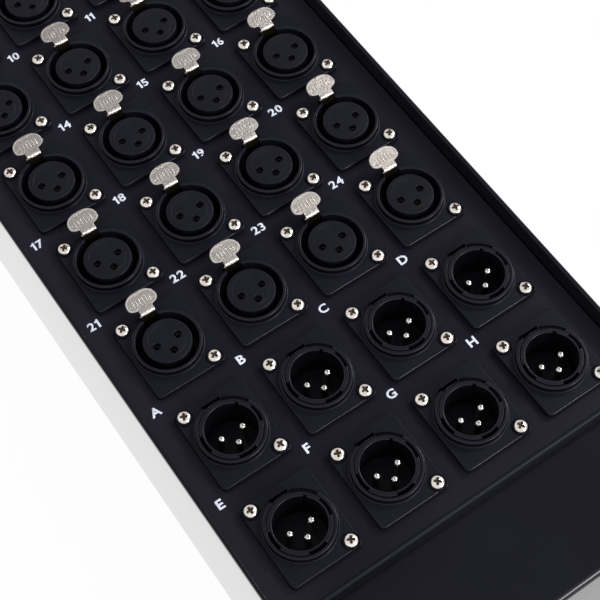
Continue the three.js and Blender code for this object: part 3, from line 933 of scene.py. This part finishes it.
# One figure or letter, its height 1 and its left edge at zero, with its width
def glyphMesh(figure):
    if figure == "1":
        flat = bpy.data.meshes.new("one")
        flat.from_pydata([(x, y, 0) for x, y in label["one"]], [], [tuple(range(len(label["one"])))])
    else:
        curve = bpy.data.curves.new("label", "FONT")
        curve.body = figure
        curve.offset = label["weight"]
        curve.resolution_u = label["curveSteps"]
        letter = linked("label", curve)
        flat = evaluated(letter)
        bpy.data.objects.remove(letter)
    low = [min(v.co[axis] for v in flat.vertices) for axis in (0, 1)]
    high = [max(v.co[axis] for v in flat.vertices) for axis in (0, 1)]
    scale = 1 / (high[1] - low[1])
    wide = scale * label["stretch"]
    flat.transform(Matrix.Diagonal((wide, scale, 1, 1)) @ Matrix.Translation((-low[0], -low[1], 0)))
    return flat, (high[0] - low[0]) * wide


# The figures of a label side by side, centred on its place
def labelInto(solid, text, place):
    glyphs = [glyphMesh(figure) for figure in text]
    total = sum(width for _, width in glyphs) + label["gap"] * (len(text) - 1)
    size = Matrix.Translation(place) @ Matrix.Scale(label["height"] * mm, 4)
    across = -total / 2
    for flat, width in glyphs:
        flat.transform(size @ Matrix.Translation((across, -0.5, 0)))
        solid.bm.from_mesh(flat)
        across += width + label["gap"]


def makeLabels():
    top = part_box("connector_panel")[1].z
    solid = Solid()
    for text, face in faces.items():
        offset = label["letterOffset"] if text.isalpha() else label["figureOffset"]
        place = Vector((face.x + offset[0] * mm, face.y + offset[1] * mm, top))
        labelInto(solid, text.lstrip("0"), place)
    flat = list(solid.bm.faces)
    raised = bmesh.ops.extrude_face_region(solid.bm, geom=flat)
    lifted = [item for item in raised["geom"] if isinstance(item, bmesh.types.BMVert)]
    bmesh.ops.translate(solid.bm, verts=lifted, vec=(0, 0, label["ink"] * mm))
    addPiece("panel_numbers", solid.mesh("panel_numbers", "ink"))
    print("labels made")


# Panel: the folded profile in Y and Z, run across, with its round holes
panel = {"sheet": 1.5, "bend": 2.0, "bendSteps": 14, "bendFrom": 0.05, "holeRadius": 11.9, "edge": 0.2}


def panelMesh():
    s = panel
    low, high = boxOf("connector_panel")
    outer, inner = s["bend"], s["bend"] - s["sheet"]
    steps = s["bendSteps"]
    level = high.z - outer
    outline = [(low.y, low.z)]
    outline += rounding((low.y + outer, level), outer, 180, 90, steps)
    outline += rounding((high.y - outer, level), outer, 90, 0, steps)
    outline += [(high.y, low.z), (high.y - s["sheet"], low.z)]
    outline += rounding((high.y - outer, level), inner, 0, 90, steps)
    outline += rounding((low.y + outer, level), inner, 90, 180, steps)
    outline += [(low.y + s["sheet"], low.z)]
    solid = Solid()
    solid.run(outline, (low.x, high.x), 0)
    cutter = Solid()
    for face in faces.values():
        place = (face.x / mm, face.y / mm)
        turned(cutter, [(s["holeRadius"], high.z - 2 * s["sheet"]), (s["holeRadius"], high.z + s["sheet"])],
               40, place)
    made = worked(solid.mesh("panel", "panel", "panelBendShade"), cutter.mesh("holes", "panel"), s["edge"])
    # The bends take the darker copy of the coat: painted shade on the folds
    for face in made.polygons:  # the bends are a little darker than the flats
        if face.normal.z > s["bendFrom"] and abs(face.normal.y) > s["bendFrom"]:
            face.material_index = 1
    return made


# Tray: floor and side walls folded from one sheet, and an end wall at each end that folds in as a
# shelf under the panel
tray = {
    "sheet": 1.5, "bend": 2.0, "bendSteps": 12, "corner": 10, "cornerSteps": 16, "shelfLap": 5,
    "endShelf": 37, "edge": 0.28, "weld": 0.05, "cableHole": 17.8, "seamGap": 0.12,
    "glossLean": 0.3, "over": 3, "shelfGap": 0.1,
}


def trayMesh():
    s = tray
    low, high = boxOf("base_tray")
    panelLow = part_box("connector_panel")[0] / mm
    outer, inner, steps = s["bend"], s["bend"] - s["sheet"], s["bendSteps"]
    side = high.x
    # Section of the channel in X and Z
    section = [(-side, high.z)] + rounding((-side + outer, outer), outer, 180, 270, steps)
    section += rounding((side - outer, outer), outer, 270, 360, steps) + [(side, high.z)]
    section += [(side - s["sheet"], high.z)]
    section += rounding((side - outer, outer), inner, 360, 270, steps)
    section += rounding((-side + outer, outer), inner, 270, 180, steps) + [(-side + s["sheet"], high.z)]
    channel = Solid()
    channel.run(section, (low.y, high.y), 1)
    # What is left outside the rounded upper corners is cut away
    trim = Solid()
    over = s["over"]
    for end, edge in ((-1, low.y), (1, high.y)):
        middle = (edge - end * s["corner"], high.z - s["corner"])
        arc = rounding(middle, s["corner"], 90, 90 - end * 90, s["cornerSteps"])
        outline = [(edge + end * over, high.z - s["corner"]), (edge + end * over, high.z + over),
                   (edge - end * s["corner"], high.z + over)] + arc
        trim.run(outline, (-side - over, side + over), 0)
    walls = worked(channel.mesh("tray_channel", "tray"), trim.mesh("trim", "tray"), s["edge"])

    shelfTop = panelLow.z - s["shelfGap"]
    ends = Solid()
    wide = side - s["sheet"] - s["seamGap"]
    for end, edge in ((-1, low.y), (1, high.y)):
        turn = (edge - end * outer, shelfTop - outer)
        lap = edge - end * (s["endShelf"] + s["shelfLap"])
        outline = [(edge, s["sheet"] + s["weld"])]
        outline += rounding(turn, outer, 90 - end * 90, 90, steps)
        outline += [(lap, shelfTop), (lap, shelfTop - s["sheet"])]
        outline += rounding(turn, inner, 90, 90 - end * 90, steps)
        outline += [(edge - end * s["sheet"], s["sheet"] + s["weld"])]
        ends.run(outline, (-wide, wide), 0)
    hole = Solid()
    rim = [(s["cableHole"] * cos(a), s["cableHole"] * sin(a) + glandHeight) for a in evenAngles(48)]
    hole.run(rim, (high.y - s["sheet"] - over, high.y + over), 1)
    plates = worked(ends.mesh("tray_ends", "tray"), hole.mesh("hole", "tray"), s["edge"])
    joined = Solid()
    joined.bm.from_mesh(walls)
    joined.bm.from_mesh(plates)
    made = joined.mesh("tray", "tray", "trayWall", sharp=32)
    for face in made.polygons:
        outward = face.normal.x if face.center.x > 0 else -face.normal.x
        if outward > s["glossLean"] and abs(face.center.x) > (side - s["sheet"]) * mm:
            face.material_index = 1
    return made


# Gland: threaded neck, lock nut, hexagon, domed nut with grip flats and a rubber seal in its mouth.
# The points of the seal's lips are distances out from the bore and in from the mouth, and how far the
# lobes show there.
gland = {
    "bore": 12.5, "neck": 17.5, "hexFlat": 21.1, "hexThickness": 7, "hexChamfer": 1.3, "lockNut": 5,
    "sheet": 1.5, "seat": 0.1, "pitch": 1.5, "threadDepth": 0.7, "overlap": 1, "lap": 0.05, "sides": 96,
    "nutFoot": 19.9, "nutMouth": 15.4, "nutGap": 0.05, "nutRound": 0.5, "nutSides": 144,
    "domeSteps": 12, "domeLip": 0.8, "domePower": 2.2, "mouthFlare": 0.3, "mouthDepth": 0.4,
    "flutes": 24, "fluteDepth": 0.55, "fluteFoot": 0.4, "fluteFrom": 0.12, "fluteTo": 0.7, "fluteFade": 0.25,
    "seal": 1.4, "sealGap": 0.3, "sealFit": 0.05, "sealLobes": 12, "lobeRise": 0.25,
    "sealLips": [(1.35, 1.2, 0), (1.05, 0.8, 0), (0.5, 0.6, 1), (0.1, 1.0, 1), (0, 2.2, 1)],
}


# A ring round the gland's middle line, which runs along Y
def glandRing(y, radiusAt, count):
    return [(radiusAt(a) * cos(a), y, glandHeight + radiusAt(a) * sin(a)) for a in evenAngles(count)]


# Rings from (radius, place along Y, how far the lobes show)
def glandRings(points, count=gland["sides"], ripple=0.0, lobes=0):
    return [glandRing(y, lambda a: radius - ripple * depth * (0.5 + 0.5 * cos(lobes * a)), count)
            for radius, y, depth in points]


# Hexagon with its corners turned down
def hexRings(near, far):
    s = gland
    corner = s["hexFlat"] / cos(pi / 6)
    low, turn = corner - s["hexChamfer"], s["hexChamfer"] / 2
    return [glandRing(y, lambda a: min(s["hexFlat"] / cos(a % (pi / 3) - pi / 6), limit), s["sides"])
            for y, limit in ((near, low), (near + turn, corner), (far - turn, corner), (far, low))]


def glandMesh():
    s = gland
    low, high = glandLow, glandHigh
    hexNear = trayEnd + s["seat"]
    hexFar = hexNear + s["hexThickness"]
    lockFar = trayEnd - s["sheet"] - s["seat"]
    lockNear = lockFar - s["lockNut"]
    root = s["neck"] - s["threadDepth"]
    solid = Solid()
    # Threaded neck with its bore right through, and the nut's body as its continuation
    outer = []
    y = low.y
    while y < lockNear - s["pitch"] / 2:
        outer.append((root if len(outer) % 2 else s["neck"], y, 0))
        y += s["pitch"] / 2
    inner = hexFar - s["overlap"]
    outer += [(root, lockNear, 0), (root, trayEnd, 0), (root, inner, 0)]
    solid.tube(glandRings(outer + [(s["bore"], inner, 0), (s["bore"], low.y, 0)]))
    # Hexagons, each with the neck's hole through it
    for near, far in ((lockNear, lockFar), (hexNear, hexFar)):
        inside = root + s["lap"] if far < trayEnd else s["bore"]
        solid.tube(hexRings(near, far) + glandRings([(inside, far, 0), (inside, near, 0)]))
    # Domed nut with flutes that fade towards its mouth
    foot, mouth, soft = s["nutFoot"], s["nutMouth"], s["nutRound"]
    nutNear = hexFar + s["nutGap"]
    rise = high.y - nutNear - soft - s["domeLip"]
    dome = [(foot - soft, nutNear, 0), (foot, nutNear + soft, s["fluteFoot"])]
    for step in range(1, s["domeSteps"] + 1):
        share = step / s["domeSteps"]
        bulge = foot + (mouth + s["domeLip"] - foot) * share ** s["domePower"]
        depth = 1 if s["fluteFrom"] < share < s["fluteTo"] else s["fluteFade"]
        dome.append((bulge, nutNear + soft + rise * share, depth))
    hole = s["bore"] + s["seal"]
    dome += [(mouth, high.y - soft / 2, 0), (mouth - soft, high.y, 0), (hole + s["mouthFlare"], high.y, 0),
             (hole, high.y - s["mouthDepth"], 0), (hole, nutNear, 0)]
    solid.tube(glandRings(dome, s["nutSides"], s["fluteDepth"], s["flutes"]))
    return solid.mesh("gland", "gland", sharp=28)


# Rubber seal inside the nut, its lips drawn towards the mouth
def sealMesh():
    s = gland
    near = trayEnd + s["seat"] + s["hexThickness"] + s["sealGap"]
    rows = [(s["bore"] + s["seal"] - s["sealFit"], near, 0)]
    rows += [(s["bore"] + out, glandHigh.y - drop, share) for out, drop, share in s["sealLips"]]
    solid = Solid()
    solid.tube(glandRings(rows + [(s["bore"], near, 0)], s["sides"], -s["lobeRise"], s["sealLobes"]))
    return solid.mesh("seal", "seal", sharp=40)


# Loom: a spiral wrapped trunk and one core up to the back of each socket
loom = {
    "trunk": 6, "trunkSides": 20, "wrapDepth": 0.5, "wrapPitch": 9, "wrapSteps": 6,
    "core": 1.5, "coreSteps": 12, "spread": 4, "clear": 0.3, "sides": 10,
}


# A round rod along a row of points
def sweep(solid, points, radius, sides):
    rows = []
    for index, point in enumerate(points):
        ahead = points[min(index + 1, len(points) - 1)]
        behind = points[max(index - 1, 0)]
        along = (ahead - behind).normalized()
        side = along.cross(Vector((0, 1, 0)))
        side = side.normalized() if side.length > 1e-6 else Vector((1, 0, 0))
        up = side.cross(along)
        rows.append([point + side * radius * cos(a) + up * radius * sin(a) for a in evenAngles(sides)])
    solid.skin(rows)


def loomMesh():
    s = loom
    low, high = boxOf("wiring_loom")
    solid = Solid()
    rows = []
    y = low.y
    while y <= high.y:
        turn = 2 * pi * y / s["wrapPitch"]
        rows.append(glandRing(y, lambda a: s["trunk"] - s["wrapDepth"] * (0.5 - 0.5 * cos(a - turn)) ** 3,
                              s["trunkSides"]))
        y += s["wrapPitch"] / s["wrapSteps"]
    solid.skin(rows)
    columns = sorted({round(face.x / mm, 3) for face in faces.values()})
    for face in faces.values():
        x, y, z = face / mm
        outerColumn = round(x, 3) in (columns[0], columns[-1])
        start = Vector((0, y + (-s["spread"] if outerColumn else s["spread"]), glandHeight))
        bend = Vector((x, y, glandHeight))
        end = Vector((x, y, z + rearHeight - s["clear"]))
        shares = [step / s["coreSteps"] for step in range(s["coreSteps"] + 1)]
        sweep(solid, [start * (1 - t) ** 2 + bend * 2 * t * (1 - t) + end * t ** 2 for t in shares],
              s["core"], s["sides"])
    return solid.mesh("loom", "loom", sharp=50)


makeSockets()
makeScrews()
makeContacts()
makeLabels()
addPiece("panel_plate", panelMesh(), replaces=["connector_panel"])
print("panel made")
addPiece("tray_box", trayMesh(), replaces=["base_tray"])
print("tray made")
addPiece("gland_body", glandMesh(), replaces=["cable_gland"])
addPiece("gland_seal", sealMesh())
addPiece("loom_cores", loomMesh(), replaces=["wiring_loom"])
print("gland and loom made")


# Studio: a white floor that shows white to the camera and in gloss but keeps the shadow, a pale room
# with one dim patch over the panel, and soft lamps. Lengths here are in metres.
studio = {
    "floorSize": 12.0, "floorDrop": 0.0002, "floorWhite": 0.82, "floorGlow": 0.96,
    "patch": (0.4, 0.34, 0.85), "room": [(0.79, 0.95), (0.9, 0.6), (0.965, 0.22)],  # light by nearness to it
    "lamps": {  # direction to the lamp, distance, width, height, watts
        "key": ((0.95, 0.05, 0.85), 1.6, 0.4, 0.4, 11),
        "near": ((0.45, -1.0, 0.62), 1.6, 0.5, 0.5, 14),
    },
}


def makeStudio(s):
    p = Paint(bpy.data.worlds.new("room"), "ShaderNodeOutputWorld")
    near = p.dot(p.node("ShaderNodeTexCoord", out="Generated"), Vector(s["patch"]).normalized())
    scene.world = p.finish(p.node("ShaderNodeBackground", {}, {"Color": p.ramp(near, s["room"])}))

    p = Paint(bpy.data.materials.new("floor_white"))
    camera, gloss, through = (p.node("ShaderNodeLightPath", out=f"Is {ray} Ray")
                              for ray in ("Camera", "Glossy", "Transmission"))
    matt = p.node("ShaderNodeBsdfDiffuse", {}, {"Color": (s["floorWhite"],) * 3 + (1,)})
    glow = p.node("ShaderNodeEmission", {}, {"Color": (1, 1, 1, 1), "Strength": 1.0})
    share = p.node("ShaderNodeClamp", {}, {"Value": camera + gloss + through}) * s["floorGlow"]
    half = s["floorSize"] / 2
    sheet = bpy.data.meshes.new("floor")
    corners = [(-half, -half, 0), (half, -half, 0), (half, half, 0), (-half, half, 0)]
    sheet.from_pydata(corners, [], [(0, 1, 2, 3)])
    sheet.materials.append(p.finish(p.node("ShaderNodeMixShader", {}, {0: share, 1: matt, 2: glow})))
    floor = linked("floor", sheet)
    floor.location.z = cadBox[0].z - s["floorDrop"]

    middle = (cadBox[0] + cadBox[1]) / 2
    for name, (direction, distance, wide, high, watts) in s["lamps"].items():
        data = bpy.data.lights.new(name, "AREA")
        data.shape = "RECTANGLE"
        data.size = wide
        data.size_y = high
        data.energy = watts
        lamp = linked(name, data)
        lamp.location = middle + Vector(direction).normalized() * distance
        lamp.rotation_euler = (middle - lamp.location).to_track_quat("-Z", "Y").to_euler()


makeStudio(studio)
scene.view_settings.view_transform = "Standard"
print("studio made")
